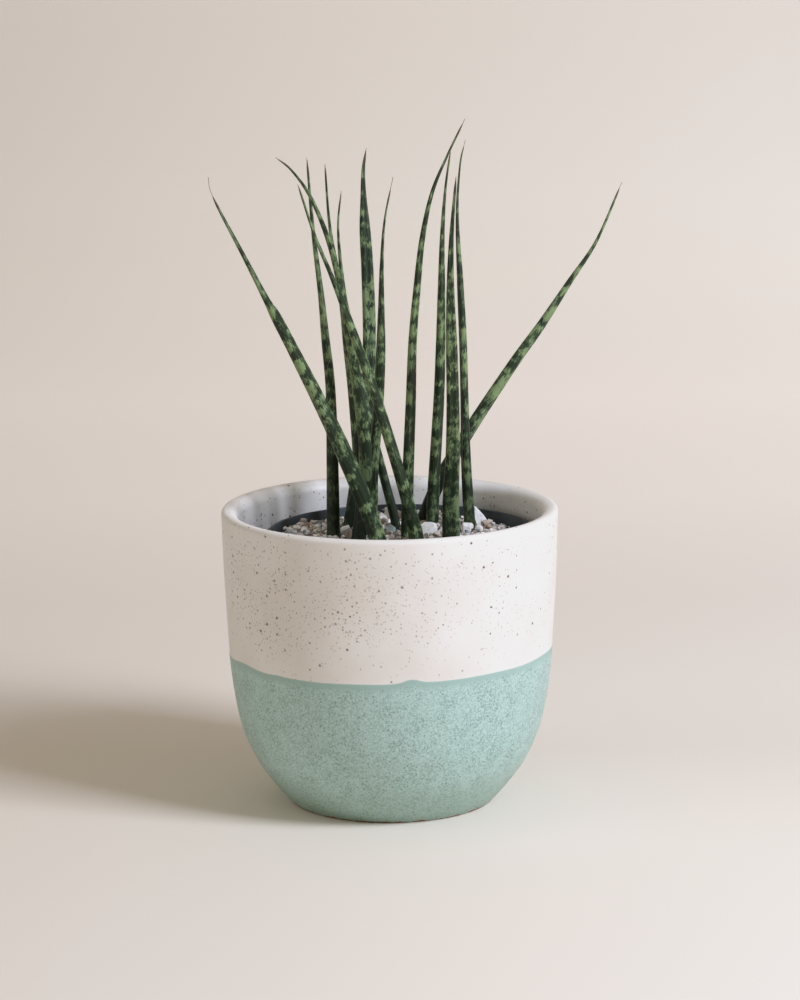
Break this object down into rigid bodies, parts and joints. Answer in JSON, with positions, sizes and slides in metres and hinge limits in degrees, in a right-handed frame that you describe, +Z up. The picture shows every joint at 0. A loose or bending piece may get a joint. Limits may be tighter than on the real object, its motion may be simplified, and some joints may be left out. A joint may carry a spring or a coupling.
{
  "type": "potted fernwood snake plant",
  "caption": "Snake plant with slim channelled leaves fanning up out of gravel in a plastic nursery pot, which stands in a bowl-footed ceramic cover pot glazed cream over aqua.",
  "frame": {"origin": "centre of the cover pot's flat base, on the surface that it stands on", "axes": "+Z up along the cover pot's axis; the side seen in the picture faces -Y, with +X to the viewer's right"},
  "size_m": [0.1857, 0.1549, 0.3087],
  "materials": {
    "glaze": "satin",
    "plastic": "satin",
    "soil": "matte",
    "gravel": "matte",
    "stone": "matte",
    "rhizome": "matte",
    "leaf": "satin"
  },
  "bodies": {
    "root": {"cover_pot": "glaze", "nursery_pot": "plastic", "rhizome": "rhizome", "soil": "soil", "gravel": "gravel", "stone_slab": "stone", "stone_centre": "stone", "stone_between": "stone", "stone_right": "stone", "stone_low_right": "stone", "leaf_far_left": "leaf", "leaf_left_upright": "leaf", "leaf_curled_tip": "leaf", "leaf_crossing": "leaf", "leaf_behind_crossing": "leaf", "leaf_inner_left": "leaf", "leaf_broad": "leaf", "leaf_slim_centre": "leaf", "leaf_tallest": "leaf", "leaf_right_centre": "leaf", "leaf_front": "leaf", "leaf_right_upright": "leaf", "leaf_far_right": "leaf"}
  },
  "joints": []
}
